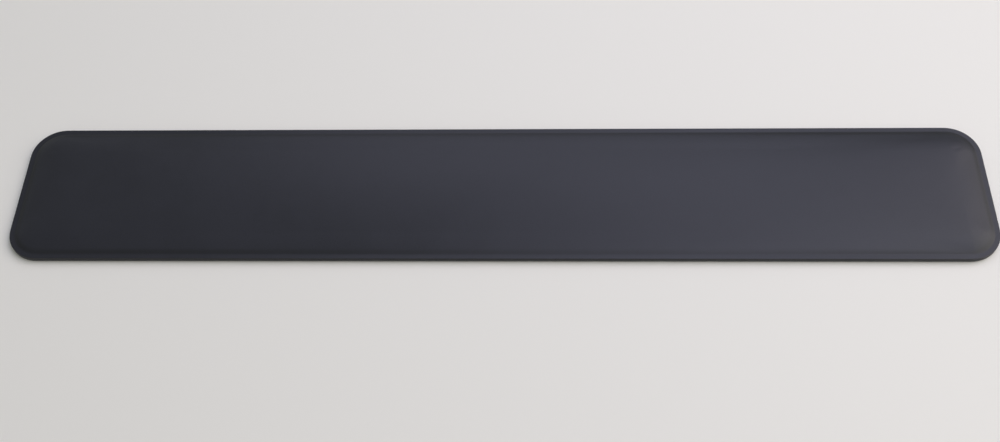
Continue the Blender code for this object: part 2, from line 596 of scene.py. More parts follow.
@dataclass
class CushionFoam:
    """The foam core, which fills the skin and stands on the plate's film.

    Attributes:
        shape: The skin's outer surface.
        inward: From that surface to the foam's.
        bottom: Height of the foam's flat underside.
        edge_margin: From the outline to the foam's edge.
    """

    shape: CushionShape
    inward: float
    bottom: float
    edge_margin: float = 4.4 * MM

    def build(self, surface: bpy.types.Object) -> bpy.types.Object:
        """Makes the finished foam from a copy of the crowned surface.

        Args:
            surface: The crowned, open surface.

        Returns:
            The closed foam core.
        """
        foam = copy_of(surface, "cushion_foam")
        plan, wall = self.shape.outline, self.edge_margin
        work = Workpiece(foam)
        work.pick(
            Element.VERTEX, lambda vertex: plan.margin(vertex.co.x, vertex.co.y) < wall
        )
        bpy.ops.mesh.delete(type="VERT")
        bpy.ops.mesh.select_all(action="SELECT")
        bpy.ops.transform.shrink_fatten(value=-self.inward, use_even_offset=True)
        work.pick(Element.EDGE, lambda edge: edge.is_boundary)
        bpy.ops.mesh.extrude_edges_move()
        cage = bmesh.from_edit_mesh(foam.data)
        for vertex in cage.verts:
            if vertex.select:
                vertex.co.z = self.bottom
        bmesh.update_edit_mesh(foam.data)
        bpy.ops.mesh.edge_face_add()
        work.face_outwards()
        work.let_go()
        smooth(foam, angle=50.0)
        return foam


# ---------------------------------------------------------------- base and feet


@dataclass
class Pad:
    """A flat oblong pad with rounded corners.

    Attributes:
        length: Size along X.
        width: Size along Y.
        radius: The corners' radius.
        bottom: Height of its lower face.
        thickness: Its height.
        corner_steps: Steps round each corner.
    """

    length: float
    width: float
    radius: float
    bottom: float
    thickness: float
    corner_steps: int = 8

    def start(self, name: str) -> Workpiece:
        """Models the plain pad.

        Args:
            name: The piece's name.

        Returns:
            The closed pad, still in edit mode.
        """
        work = Workpiece.plane(name, self.length, self.width, self.bottom)
        work.round_corners(self.radius, self.corner_steps)
        work.extrude(self.thickness)
        work.face_outwards()
        return work


@dataclass
class RubberFoot:
    """One foot: a moulded rubber pad with shallow grip recesses across its sole.

    Attributes:
        node: The CAD foot that it stands for.
        radius: The corners' radius.
        grip_pitch: From one recess to the next.
        grip_width: Width of the rubber left between two recesses.
        grip_depth: How deep a recess is.
        edge_round: Radius of the sole's edge.
    """

    node: str
    radius: float = 3.0 * MM
    grip_pitch: float = 3.0 * MM
    grip_width: float = 0.9 * MM
    grip_depth: float = 0.12 * MM
    edge_round: float = 0.12 * MM

    def build(self, name: str) -> bpy.types.Object:
        """Models the foot where its CAD node is.

        Args:
            name: The piece's name.

        Returns:
            The finished foot.
        """
        low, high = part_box(self.node)
        centre = (low + high) / 2
        size = high - low
        pad = Pad(size.x, size.y, self.radius, low.z, size.z)
        work = pad.start(name)
        self.cut_recesses(work, size.x)
        foot = work.let_go()
        round_edges(foot, self.edge_round, angle=50.0)
        move_to(foot, centre)
        smooth(foot, angle=35.0)
        return foot

    def cut_recesses(self, work: Workpiece, length: float) -> None:
        """Sinks a row of shallow recesses into the sole.

        Args:
            work: The plain pad, in edit mode.
            length: The pad's length.
        """
        count = round((length - 2 * self.radius) / self.grip_pitch)
        first = -count * self.grip_pitch / 2
        for step in range(count + 1):
            work.pick(Element.FACE, faces_down)
            bpy.ops.mesh.bisect(
                plane_co=(first + step * self.grip_pitch, 0.0, 0.0),
                plane_no=(1.0, 0.0, 0.0),
            )
        reach = count * self.grip_pitch / 2
        work.pick(
            Element.FACE,
            lambda face: faces_down(face) and abs(face.calc_center_median().x) < reach,
        )
        bpy.ops.mesh.inset(
            thickness=self.grip_width / 2, use_individual=True, use_even_offset=True
        )
        bpy.ops.mesh.inset(
            thickness=self.grip_depth,
            depth=-self.grip_depth,
            use_individual=True,
            use_even_offset=True,
        )


@dataclass
class BaseSheet:
    """The moulded base: a shallow tray with a thick lip and a pocket for each foot.

    Attributes:
        outline: The rest's outline.
        floor: Thickness of the tray's floor.
        lip_width: Width of the lip.
        groove_margin: From the outline to the groove round the underside.
        groove_width: The groove's width.
        groove_depth: The groove's depth.
        pocket_clearance: Gap round a foot in its pocket.
        pocket_depth: The pockets' depth.
        edge_round: Radius of the moulded edges.
        corner_steps: Steps round each corner of the outline.
    """

    outline: Outline
    floor: float = 0.6 * MM
    lip_width: float = 4.2 * MM
    groove_margin: float = 2.2 * MM
    groove_width: float = 0.7 * MM
    groove_depth: float = 0.15 * MM
    pocket_clearance: float = 0.3 * MM
    pocket_depth: float = 0.3 * MM
    edge_round: float = 0.08 * MM
    corner_steps: int = 16

    def build(self, feet: Sequence[RubberFoot]) -> bpy.types.Object:
        """Models the base sheet.

        Args:
            feet: The feet that need pockets.

        Returns:
            The finished base.
        """
        bottom, top = node_levels("base_sheet")
        plan = self.outline
        work = Workpiece.plane("moulded_base", plan.length, plan.depth, bottom)
        work.round_corners(plan.radius, self.corner_steps)
        work.extrude(top - bottom)
        work.face_outwards()
        work.pick(Element.FACE, faces_up)
        work.inset(self.lip_width - self.edge_round)
        work.inset(self.edge_round, bottom + self.floor - top)
        work.pick(Element.FACE, faces_down)
        work.inset(self.groove_margin)
        work.inset(self.groove_depth, -self.groove_depth)
        work.inset(self.groove_width - 2 * self.groove_depth)
        work.inset(self.groove_depth, self.groove_depth)
        base = work.let_go()
        for foot in feet:
            self.cut_pocket(base, foot, bottom)
        round_edges(base, self.edge_round, angle=50.0)
        smooth(base, angle=40.0)
        return base

    def cut_pocket(
        self, base: bpy.types.Object, foot: RubberFoot, bottom: float
    ) -> None:
        """Cuts one foot's pocket into the underside.

        Args:
            base: The base, which is changed.
            foot: The foot that the pocket holds.
            bottom: Height of the base's underside.
        """
        low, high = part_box(foot.node)
        centre = (low + high) / 2
        pad = Pad(
            high.x - low.x + 2 * self.pocket_clearance,
            high.y - low.y + 2 * self.pocket_clearance,
            foot.radius + self.pocket_clearance,
            low.z - MM,
            bottom + self.pocket_depth - low.z + MM,
        )
        cutter = pad.start("pocket_cutter").let_go()
        move_to(cutter, centre)
        apply_modifier(base, "BOOLEAN", operation="DIFFERENCE", object=cutter)
        bpy.data.objects.remove(cutter, do_unlink=True)


# ---------------------------------------------------------------- node trees


class NodeBench:
    """Adds nodes to one tree and joins them."""

    def __init__(self, tree: bpy.types.NodeTree) -> None:
        """Starts work on a tree.

        Args:
            tree: The tree to add to.
        """
        self.tree = tree

    def node(
        self,
        kind: str,
        feeds: Mapping[str | int, Feed] | None = None,
        **settings: object,
    ) -> bpy.types.Node:
        """Adds one node.

        Args:
            kind: The node's type.
            feeds: What goes into its inputs: another node's output, or a value.
            **settings: The node's own properties.

        Returns:
            The node.
        """
        made = self.tree.nodes.new(kind)
        for name, value in settings.items():
            setattr(made, name, value)
        for key, value in (feeds or {}).items():
            self.feed(made.inputs[key], value)
        return made

    def feed(self, socket: bpy.types.NodeSocket, value: Feed) -> None:
        """Joins an output to an input, or sets the input's value."""
        if isinstance(value, bpy.types.NodeSocket):
            self.tree.links.new(value, socket)
        else:
            socket.default_value = value

    def maths(self, operation: str, *values: Feed) -> bpy.types.NodeSocket:
        """Adds a Math node and returns its output."""
        feeds = dict(enumerate(values))
        return self.node("ShaderNodeMath", feeds, operation=operation).outputs[0]

    def band(self, value: Feed, start: float, end: float) -> bpy.types.NodeSocket:
        """Returns a smooth step from 0 at start to 1 at end."""
        feeds = {"Value": value, "From Min": start, "From Max": end}
        return self.node(
            "ShaderNodeMapRange", feeds, interpolation_type="SMOOTHSTEP"
        ).outputs["Result"]

    def between(self, share: Feed, low: Feed, high: Feed) -> bpy.types.NodeSocket:
        """Returns low plus share of the way to high."""
        feeds = {"Value": share, "To Min": low, "To Max": high}
        return self.node("ShaderNodeMapRange", feeds).outputs["Result"]

    def blend(self, share: Feed, low: Feed, high: Feed) -> bpy.types.NodeSocket:
        """Returns a colour between two colours."""
        mix = self.node("ShaderNodeMix", data_type="RGBA")
        self.feed(mix.inputs[0], share)
        self.feed(mix.inputs[6], low)
        self.feed(mix.inputs[7], high)
        return mix.outputs[2]

    def noise(
        self, vector: Feed, scale: Feed, detail: float = 2.0, roughness: float = 0.5
    ) -> bpy.types.NodeSocket:
        """Returns smooth noise from 0 to 1."""
        feeds = {
            "Vector": vector,
            "Scale": scale,
            "Detail": detail,
            "Roughness": roughness,
        }
        return self.node("ShaderNodeTexNoise", feeds).outputs["Fac"]

    def place_xyz(self) -> bpy.types.NodeSocket:
        """Returns the place on the piece, in metres."""
        return self.node("ShaderNodeTexCoord").outputs["Object"]


@dataclass(frozen=True)
class Effect:
    """A surface effect that several finishes share, as a shader node group.

    Attributes:
        name: The group's name.
        inputs: Each input's name and starting value. A tuple makes a vector.
        outputs: The outputs' names.
        wire: Builds the nodes, from the inputs to the outputs.
    """

    name: str
    inputs: Mapping[str, Feed]
    outputs: Sequence[str]
    wire: Callable[[NodeBench, Mapping[str, bpy.types.NodeSocket]], Mapping[str, Feed]]

    def tree(self) -> bpy.types.NodeTree:
        """Returns the node group, which is built the first time."""
        if self.name in bpy.data.node_groups:
            return bpy.data.node_groups[self.name]
        tree = bpy.data.node_groups.new(self.name, "ShaderNodeTree")
        for name, value in self.inputs.items():
            kind = "Vector" if isinstance(value, tuple) else "Float"
            made = tree.interface.new_socket(
                name, in_out="INPUT", socket_type=f"NodeSocket{kind}"
            )
            made.default_value = value
        for name in self.outputs:
            tree.interface.new_socket(
                name, in_out="OUTPUT", socket_type="NodeSocketFloat"
            )
        bench = NodeBench(tree)
        entry = bench.node("NodeGroupInput")
        leave = bench.node("NodeGroupOutput")
        given = {name: entry.outputs[name] for name in self.inputs}
        for name, value in self.wire(bench, given).items():
            bench.feed(leave.inputs[name], value)
        return tree

    def on(self, bench: NodeBench, **feeds: Feed) -> bpy.types.Node:
        """Places the effect in a finish.

        Args:
            bench: The finish's bench.
            **feeds: The effect's inputs, with _ for each space in their names.

        Returns:
            The group node.
        """
        group = bench.node("ShaderNodeGroup", node_tree=self.tree())
        for key, value in feeds.items():
            bench.feed(group.inputs[key.replace("_", " ")], value)
        return group


def wire_margin(
    bench: NodeBench, given: Mapping[str, bpy.types.NodeSocket]
) -> dict[str, Feed]:
    """Measures how far in from the rounded outline each point is.

    Args:
        bench: The group's bench.
        given: The group's inputs.

    Returns:
        The group's outputs.
    """
    split = bench.node("ShaderNodeSeparateXYZ", {0: given["Place"]})
    past = []
    for axis, half in ((0, "Half Length"), (1, "Half Depth")):
        inner = bench.maths("SUBTRACT", given[half], given["Radius"])
        reach = bench.maths("ABSOLUTE", split.outputs[axis])
        past.append(bench.maths("SUBTRACT", reach, inner))
    squares = []
    for value in past:
        outside = bench.maths("MAXIMUM", value, 0.0)
        squares.append(bench.maths("MULTIPLY", outside, outside))
    corner = bench.maths("SQRT", bench.maths("ADD", *squares))
    side = bench.maths("MINIMUM", bench.maths("MAXIMUM", *past), 0.0)
    outward = bench.maths("ADD", corner, side)
    return {"Margin": bench.maths("SUBTRACT", given["Radius"], outward)}


def wire_grain(
    bench: NodeBench, given: Mapping[str, bpy.types.NodeSocket]
) -> dict[str, Feed]:
    """Makes the fine pebbled grain that a moulded or coated surface is given.

    Args:
        bench: The group's bench.
        given: The group's inputs.

    Returns:
        The group's outputs.
    """
    per_metre = bench.maths("DIVIDE", 1.0, given["Cell Size"])
    coarse = bench.maths("MULTIPLY", per_metre, 0.45)
    warp = bench.node(
        "ShaderNodeTexNoise", {"Vector": given["Place"], "Scale": coarse, "Detail": 1.0}
    ).outputs["Color"]
    push = bench.node(
        "ShaderNodeVectorMath", {0: warp, 1: (0.5, 0.5, 0.5)}, operation="SUBTRACT"
    ).outputs[0]
    push = bench.node(
        "ShaderNodeVectorMath", {0: push, "Scale": given["Cell Size"]}, operation="SCALE"
    ).outputs[0]
    bent = bench.node(
        "ShaderNodeVectorMath", {0: given["Place"], 1: push}, operation="ADD"
    ).outputs[0]
    cells = bench.node(
        "ShaderNodeTexVoronoi",
        {"Vector": bent, "Scale": per_metre, "Smoothness": 0.6},
        feature="SMOOTH_F1",
    ).outputs["Distance"]
    pebble = bench.maths("SUBTRACT", 1.0, bench.band(cells, 0.15, 0.75))
    fine = bench.noise(given["Place"], bench.maths("MULTIPLY", per_metre, 3.0))
    height = bench.maths("ADD", bench.maths("MULTIPLY", pebble, 0.75), fine)
    return {
        "Height": bench.maths("MULTIPLY", height, given["Amount"]),
        "Valley": bench.maths("MULTIPLY", bench.band(cells, 0.45, 0.8), given["Amount"]),
    }


def wire_mottle(
    bench: NodeBench, given: Mapping[str, bpy.types.NodeSocket]
) -> dict[str, Feed]:
    """Makes the soft, uneven patches of a surface that is never quite one tone.

    Args:
        bench: The group's bench.
        given: The group's inputs.

    Returns:
        The group's outputs.
    """
    per_metre = bench.maths("DIVIDE", 1.0, given["Patch Size"])
    broad = bench.noise(given["Place"], per_metre, detail=3.0, roughness=0.55)
    finer = bench.noise(given["Place"], bench.maths("MULTIPLY", per_metre, 6.0))
    both = bench.between(0.3, broad, finer)
    return {"Shade": bench.band(both, 0.3, 0.7)}


def wire_wear_and_shade_patches(
    bench: NodeBench, given: Mapping[str, bpy.types.NodeSocket]
) -> dict[str, Feed]:
    """Breaks a band into uneven patches: real edge wear on the base, painted crease shade on
    the skin.

    Args:
        bench: The group's bench.
        given: The group's inputs.

    Returns:
        The group's outputs.
    """
    per_metre = bench.maths("DIVIDE", 1.0, given["Patch Size"])
    patches = bench.noise(given["Place"], per_metre, detail=4.0, roughness=0.65)
    wear_and_shade_mask = bench.band(patches, 0.42, 0.66)
    return {
        "Mask": bench.maths(
            "MULTIPLY", bench.maths("MULTIPLY", wear_and_shade_mask, given["Band"]), given["Amount"]
        )
    }


def wire_dust(
    bench: NodeBench, given: Mapping[str, bpy.types.NodeSocket]
) -> dict[str, Feed]:
    """Scatters a little fine lint and dust.

    Args:
        bench: The group's bench.
        given: The group's inputs.

    Returns:
        The group's outputs.
    """
    spots = bench.node(
        "ShaderNodeTexVoronoi", {"Vector": given["Place"], "Scale": given["Per Metre"]}
    )
    round_spot = bench.maths("SUBTRACT", 1.0, bench.band(spots.outputs["Distance"], 0.03, 0.1))
    chance = bench.node("ShaderNodeSeparateXYZ", {0: spots.outputs["Color"]}).outputs[0]
    rare = bench.band(chance, 0.86, 0.88)
    spot = bench.maths("MULTIPLY", round_spot, rare)
    return {"Mask": bench.maths("MULTIPLY", spot, given["Amount"])}


PLACE = (0.0, 0.0, 0.0)
MARGIN = Effect(
    "outline_margin",
    {"Place": PLACE, "Half Length": 0.2, "Half Depth": 0.03, "Radius": 0.015},
    ("Margin",),
    wire_margin,
)
GRAIN = Effect(
    "pebble_grain",
    {"Place": PLACE, "Cell Size": 0.0005, "Amount": 1.0},
    ("Height", "Valley"),
    wire_grain,
)
MOTTLE = Effect("mottle", {"Place": PLACE, "Patch Size": 0.04}, ("Shade",), wire_mottle)
WEAR_AND_SHADE_PATCHES = Effect(
    "uneven_wear_and_shade",
    {"Place": PLACE, "Patch Size": 0.006, "Band": 0.0, "Amount": 1.0},
    ("Mask",),
    wire_wear_and_shade_patches,
)
DUST = Effect(
    "fine_dust",
    {"Place": PLACE, "Per Metre": 500.0, "Amount": 0.3},
    ("Mask",),
    wire_dust,
)


def margin_on(
    bench: NodeBench, place_xyz: bpy.types.NodeSocket, outline: Outline
) -> bpy.types.NodeSocket:
    """Places the margin effect in a finish.

    Args:
        bench: The finish's bench.
        place_xyz: The place on the piece.
        outline: The rest's outline.

    Returns:
        How far in from the outline each point is.
    """
    return MARGIN.on(
        bench,
        Place=place_xyz,
        Half_Length=outline.length / 2,
        Half_Depth=outline.depth / 2,
        Radius=outline.radius,
    ).outputs["Margin"]


# ---------------------------------------------------------------- finishes


LINT = (0.3, 0.3, 0.3)


def opaque(color: Color) -> tuple[float, float, float, float]:
    """Adds full alpha to a colour."""
    return (*color, 1.0)


def start_material(slot: Slot, label: str) -> tuple[bpy.types.Material, NodeBench]:
    """Starts a material with only its Principled BSDF and output.

    Args:
        slot: The record's slot, which names the material.
        label: What the finish is, for the name.

    Returns:
        The material and its bench.
    """
    material = bpy.data.materials.new(f"{slot.value}_{label}")
    material.use_nodes = True
    return material, NodeBench(material.node_tree)


def finish_material(
    bench: NodeBench,
    color: Feed,
    roughness: Feed,
    height: Feed | None = None,
    relief: float = 0.0,
    **constants: Feed,
) -> None:
    """Feeds the Principled BSDF.

    Args:
        bench: The material's bench.
        color: The base colour.
        roughness: The roughness.
        height: The relief's height, from 0 to about 1.
        relief: The real height of 1, in metres.
        **constants: The shader's own constants, with _ for each space.
    """
    shader = bench.tree.nodes["Principled BSDF"]
    bench.feed(shader.inputs["Base Color"], color)
    bench.feed(shader.inputs["Roughness"], roughness)
    for name, value in constants.items():
        shader.inputs[name.replace("_", " ")].default_value = value
    if height is not None:
        bump = bench.node(
            "ShaderNodeBump", {"Strength": 1.0, "Distance": relief, "Height": height}
        )
        bench.feed(shader.inputs["Normal"], bump.outputs["Normal"])


@dataclass(frozen=True)
class Leatherette:
    """Smooth, soft-touch coated leatherette.

    Attributes:
        outline: The rest's outline, which the rim follows.
        rim_width: Width of the pressed rim.
        rim_blend: Where the rim's finish ends and the cushion's begins, from that width.
        edge_band: Width of the dark band of painted shade along the outline.
        foot_middle: How far in the middle of the painted crease shade is, at the cushion's
            foot.
        foot_reach: How far that painted shade reaches to each side.
        crease_shade_share: How much of the dark colour the painted crease shade takes.
        crease_shade_patches: How much more of the dark colour the uneven patches of painted
            crease shade take.
        deep: The colour of the darker patches.
        pale: The colour of the lighter patches.
        edge: The dark colour of the painted shade along the outline, in the crease and in the
            grain's valleys.
        cell: Size of one pebble of the grain.
        relief: Height of the grain.
        patch: Size of the soft patches.
        roughness: The lowest and the highest.
        rim_polish: How much smoother the pressed rim is.
        rim_grain: How much of the grain is left on the rim.
        valley_shade_share: How much of the dark colour the grain's valleys take, as painted
            shade.
    """

    outline: Outline
    rim_width: float = 2.0 * MM
    rim_blend: tuple[float, float] = (-0.5 * MM, 0.6 * MM)
    edge_band: float = 0.25 * MM
    foot_middle: float = 3.2 * MM
    foot_reach: float = 1.9 * MM
    crease_shade_share: float = 0.65
    crease_shade_patches: float = 0.2
    deep: Color = (0.0160, 0.0163, 0.0235)
    pale: Color = (0.0185, 0.0188, 0.0270)
    edge: Color = (0.0085, 0.0085, 0.0110)
    cell: float = 0.42 * MM
    relief: float = 0.010 * MM
    patch: float = 50.0 * MM
    roughness: tuple[float, float] = (0.33, 0.37)
    rim_polish: float = 0.02
    rim_grain: float = 0.35
    valley_shade_share: float = 0.25

    def make(self) -> bpy.types.Material:
        """Returns the material."""
        material, bench = start_material(Slot.LEATHERETTE, "soft_touch")
        place_xyz = bench.place_xyz()
        margin = margin_on(bench, place_xyz, self.outline)
        cushion = bench.band(margin, *(self.rim_width + step for step in self.rim_blend))
        # Painted shade: a dark band along the outline, on the rim's outer edge and the cut
        # edge.
        dressed = bench.band(margin, self.edge_band, 0.4 * self.edge_band)
        shade = MOTTLE.on(bench, Place=place_xyz, Patch_Size=self.patch).outputs["Shade"]
        grain = GRAIN.on(
            bench,
            Place=place_xyz,
            Cell_Size=self.cell,
            Amount=bench.between(cushion, self.rim_grain, 1.0),
        )
        # Painted shade: a darker band at the cushion's foot, over the crease, for the crease's
        # shadow.
        from_foot = bench.maths("SUBTRACT", margin, self.foot_middle)
        from_foot = bench.maths("ABSOLUTE", from_foot)
        foot = bench.band(from_foot, self.foot_reach, 0.0)
        # Painted shade: uneven patches that darken that crease band further.
        wear_and_shade_patches = WEAR_AND_SHADE_PATCHES.on(bench, Place=place_xyz, Band=foot, Amount=self.crease_shade_patches)
        crease_shade = bench.maths("MULTIPLY", foot, self.crease_shade_share)
        dust = DUST.on(bench, Place=place_xyz, Per_Metre=420.0, Amount=0.05)
        color = bench.blend(shade, opaque(self.deep), opaque(self.pale))
        # Painted shade: the grain's valleys are darkened.
        valley_shade = bench.maths("MULTIPLY", grain.outputs["Valley"], self.valley_shade_share)
        color = bench.blend(valley_shade, color, opaque(self.edge))
        color = bench.blend(crease_shade, color, opaque(self.edge))
        color = bench.blend(wear_and_shade_patches.outputs["Mask"], color, opaque(self.edge))
        color = bench.blend(dressed, color, opaque(self.edge))
        color = bench.blend(dust.outputs["Mask"], color, opaque(LINT))
        on_cushion = bench.between(shade, *self.roughness)
        on_rim = bench.maths("SUBTRACT", on_cushion, self.rim_polish)
        roughness = bench.between(cushion, on_rim, on_cushion)
        finish_material(
            bench,
            color,
            roughness,
            grain.outputs["Height"],
            self.relief,
            Sheen_Weight=0.05,
            Sheen_Roughness=0.4,
            IOR=1.47,
        )
        return material


@dataclass(frozen=True)
class MouldedPlastic:
    """Near-black moulded plastic with a fine spark texture on its underside.

    Attributes:
        outline: The rest's outline, whose edge is rubbed.
        worn_band: How far in the rubbing reaches.
        worn_share: How strong it is.
        deep: The colour of the darker patches.
        pale: The colour of the lighter patches.
        rubbed: The colour where edges are rubbed.
        cell: Size of one grain of the texture.
        relief: Height of the texture.
        patch: Size of the soft patches.
        roughness: The lowest and the highest.
    """

    outline: Outline
    worn_band: float = 0.7 * MM
    worn_share: float = 0.35
    deep: Color = (0.028, 0.029, 0.035)
    pale: Color = (0.038, 0.039, 0.046)
    rubbed: Color = (0.055, 0.056, 0.060)
    cell: float = 0.28 * MM
    relief: float = 0.020 * MM
    patch: float = 30.0 * MM
    roughness: tuple[float, float] = (0.42, 0.60)

    def make(self) -> bpy.types.Material:
        """Returns the material."""
        material, bench = start_material(Slot.BASE, "spark_textured")
        place_xyz = bench.place_xyz()
        shade = MOTTLE.on(bench, Place=place_xyz, Patch_Size=self.patch).outputs["Shade"]
        grain = GRAIN.on(bench, Place=place_xyz, Cell_Size=self.cell, Amount=1.0)
        margin = margin_on(bench, place_xyz, self.outline)
        edge = bench.band(margin, self.worn_band, 0.0)
        wear_and_shade_patches = WEAR_AND_SHADE_PATCHES.on(bench, Place=place_xyz, Band=edge, Amount=self.worn_share)
        dust = DUST.on(bench, Place=place_xyz, Per_Metre=600.0, Amount=0.12)
        color = bench.blend(shade, opaque(self.deep), opaque(self.pale))
        color = bench.blend(wear_and_shade_patches.outputs["Mask"], color, opaque(self.rubbed))
        color = bench.blend(dust.outputs["Mask"], color, opaque(LINT))
        roughness = bench.between(grain.outputs["Valley"], *self.roughness)
        finish_material(
            bench, color, roughness, grain.outputs["Height"], self.relief, IOR=1.49
        )
        return material


@dataclass(frozen=True)
class FootRubber:
    """Matte black rubber with a faint bloom.

    Attributes:
        fresh: The colour of clean rubber.
        bloom: The colour of the bloom on it.
        lint: The colour of the lint that clings to it.
        relief: Height of its fine roughness.
        patch: Size of the bloom's patches.
        fine_scale: Bumps of the fine roughness in a metre.
        roughness: The lowest and the highest.
    """

    fresh: Color = (0.011, 0.011, 0.0115)
    bloom: Color = (0.024, 0.0235, 0.023)
    lint: Color = (0.32, 0.31, 0.29)
    relief: float = 0.012 * MM
    patch: float = 9.0 * MM
    fine_scale: float = 5200.0
    roughness: tuple[float, float] = (0.78, 0.92)

    def make(self) -> bpy.types.Material:
        """Returns the material."""
        material, bench = start_material(Slot.RUBBER, "matte")
        place_xyz = bench.place_xyz()
        shade = MOTTLE.on(bench, Place=place_xyz, Patch_Size=self.patch).outputs["Shade"]
        dust = DUST.on(bench, Place=place_xyz, Per_Metre=900.0, Amount=0.35)
        color = bench.blend(shade, opaque(self.fresh), opaque(self.bloom))
        color = bench.blend(dust.outputs["Mask"], color, opaque(self.lint))
        height = bench.noise(place_xyz, self.fine_scale, detail=3.0, roughness=0.6)
        roughness = bench.between(shade, *self.roughness)
        finish_material(bench, color, roughness, height, self.relief, IOR=1.52)
        return material


@dataclass(frozen=True)
class FoamFinish:
    """Fine-celled polyurethane foam.

    Attributes:
        wall: The colour of the cell walls.
        hollow: The colour of the painted shade down in the cells.
        cell: Size of one cell.
        relief: Depth of the open cells.
        patch: Size of the soft patches.
        roughness: The lowest and the highest.
    """

    wall: Color = (0.135, 0.135, 0.145)
    hollow: Color = (0.035, 0.035, 0.040)
    cell: float = 0.55 * MM
    relief: float = 0.16 * MM
    patch: float = 20.0 * MM
    roughness: tuple[float, float] = (0.88, 0.97)

    def make(self) -> bpy.types.Material:
        """Returns the material."""
        material, bench = start_material(Slot.FOAM, "fine_celled")
        place_xyz = bench.place_xyz()
        grain = GRAIN.on(bench, Place=place_xyz, Cell_Size=self.cell, Amount=1.0)
        shade = MOTTLE.on(bench, Place=place_xyz, Patch_Size=self.patch).outputs["Shade"]
        # Painted shade: the cells' hollows are darkened.
        pore_shade = bench.maths("MULTIPLY", grain.outputs["Valley"], bench.between(shade, 0.7, 1.0))
        color = bench.blend(pore_shade, opaque(self.wall), opaque(self.hollow))
        roughness = bench.between(shade, *self.roughness)
        finish_material(bench, color, roughness, grain.outputs["Height"], self.relief)
        return material


@dataclass(frozen=True)
class AdhesiveFilm:
    """Thin double-sided film: clear adhesive on a pale fibre carrier.

    Attributes:
        clear: The colour between the fibres.
        fibre: The colour of the fibres.
        pitch: Length of the fibre pattern's cells.
        relief: Height of the fibres.
        patch: Size of the soft patches.
        roughness: The adhesive's and the fibres'.
    """

    clear: Color = (0.50, 0.475, 0.40)
    fibre: Color = (0.66, 0.64, 0.59)
    pitch: float = 1.6 * MM
    relief: float = 0.01 * MM
    patch: float = 12.0 * MM
    roughness: tuple[float, float] = (0.28, 0.60)

    def make(self) -> bpy.types.Material:
        """Returns the material."""
        material, bench = start_material(Slot.FILM, "fibre_carrier")
        place_xyz = bench.place_xyz()
        threads = bench.node(
            "ShaderNodeTexVoronoi",
            {"Vector": place_xyz, "Scale": 1.0 / self.pitch},
            feature="DISTANCE_TO_EDGE",
        ).outputs["Distance"]
        on_thread = bench.band(threads, 0.09, 0.02)
        shade = MOTTLE.on(bench, Place=place_xyz, Patch_Size=self.patch).outputs["Shade"]
        fibre = bench.maths("MULTIPLY", on_thread, bench.between(shade, 0.5, 1.0))
        color = bench.blend(fibre, opaque(self.clear), opaque(self.fibre))
        roughness = bench.between(fibre, *self.roughness)
        finish_material(bench, color, roughness, fibre, self.relief, IOR=1.47)
        return material


@dataclass(frozen=True)
class ZincedSteel:
    """Zinc-coated sheet steel with a rolled grain along its length.

    Attributes:
        bright: The colour of the brighter crystals.
        dull: The colour of the duller ones.
        crystal: Size of one zinc crystal.
        rolled: How often the rolled grain repeats along, across and upwards, in a metre.
        relief: Height of the rolled grain.
        roughness: The lowest and the highest.
    """

    bright: Color = (0.62, 0.63, 0.64)
    dull: Color = (0.47, 0.48, 0.50)
    crystal: float = 7.0 * MM
    rolled: tuple[float, float, float] = (30.0, 2500.0, 400.0)
    relief: float = 0.003 * MM
    roughness: tuple[float, float] = (0.28, 0.48)

    def make(self) -> bpy.types.Material:
        """Returns the material."""
        material, bench = start_material(Slot.STEEL, "zinced")
        place_xyz = bench.place_xyz()
        crystals = bench.node(
            "ShaderNodeTexVoronoi", {"Vector": place_xyz, "Scale": 1.0 / self.crystal}
        ).outputs["Color"]
        tone = bench.node("ShaderNodeSeparateXYZ", {0: crystals}).outputs[0]
        along = bench.node(
            "ShaderNodeMapping", {"Vector": place_xyz, "Scale": self.rolled}
        ).outputs["Vector"]
        lines = bench.noise(along, 1.0)
        color = bench.blend(tone, opaque(self.dull), opaque(self.bright))
        roughness = bench.between(bench.between(0.4, tone, lines), *self.roughness)
        finish_material(bench, color, roughness, lines, self.relief, Metallic=1.0)
        return material


@dataclass(frozen=True)
class DeskFinish:
    """A plain pale desk top.

    Attributes:
        color: Its colour.
        roughness: Its roughness.
    """

    color: Color = (0.90, 0.868, 0.80)
    roughness: float = 0.55

    def make(self) -> bpy.types.Material:
        """Returns the material."""
        material = bpy.data.materials.new("desk_pale")
        material.use_nodes = True
        shader = material.node_tree.nodes["Principled BSDF"]
        shader.inputs["Base Color"].default_value = opaque(self.color)
        shader.inputs["Roughness"].default_value = self.roughness
        return material


# ---------------------------------------------------------------- studio


@dataclass(frozen=True)
class Desk:
    """The pale floor that the rest lies on.

    Attributes:
        size: Its length and depth.
    """

    size: float = 6.0

    def build(self, material: bpy.types.Material) -> None:
        """Lays the floor.

        Args:
            material: Its finish.
        """
        clear_selection()
        bpy.ops.mesh.primitive_plane_add(size=self.size, location=(0.0, 0.0, 0.0))
        desk = bpy.context.object
        desk.name = desk.data.name = "desk_top"
        desk.data.materials.append(material)


@dataclass(frozen=True)
class SoftLight:
    """One square softbox aimed at the rest.

    Attributes:
        name: What it does.
        azimuth: Degrees from +Y towards +X, as seen from above.
        elevation: Degrees above the desk.
        distance: From the rest.
        size: Its side.
        power: In watts.
        tint: Its colour.
    """

    name: str
    azimuth: float
    elevation: float
    distance: float
    size: float
    power: float
    tint: Color = (1.0, 1.0, 1.0)

    def build(self) -> None:
        """Hangs the light."""
        turn, rise = math.radians(self.azimuth), math.radians(self.elevation)
        towards = Vector(
            (
                math.sin(turn) * math.cos(rise),
                math.cos(turn) * math.cos(rise),
                math.sin(rise),
            )
        )
        data = bpy.data.lights.new(self.name, "AREA")
        data.shape = "SQUARE"
        data.size = self.size
        data.energy = self.power
        data.color = self.tint
        light = bpy.data.objects.new(self.name, data)
        light.location = towards * self.distance
        light.rotation_euler = towards.to_track_quat("Z", "Y").to_euler()
        bpy.context.scene.collection.objects.link(light)


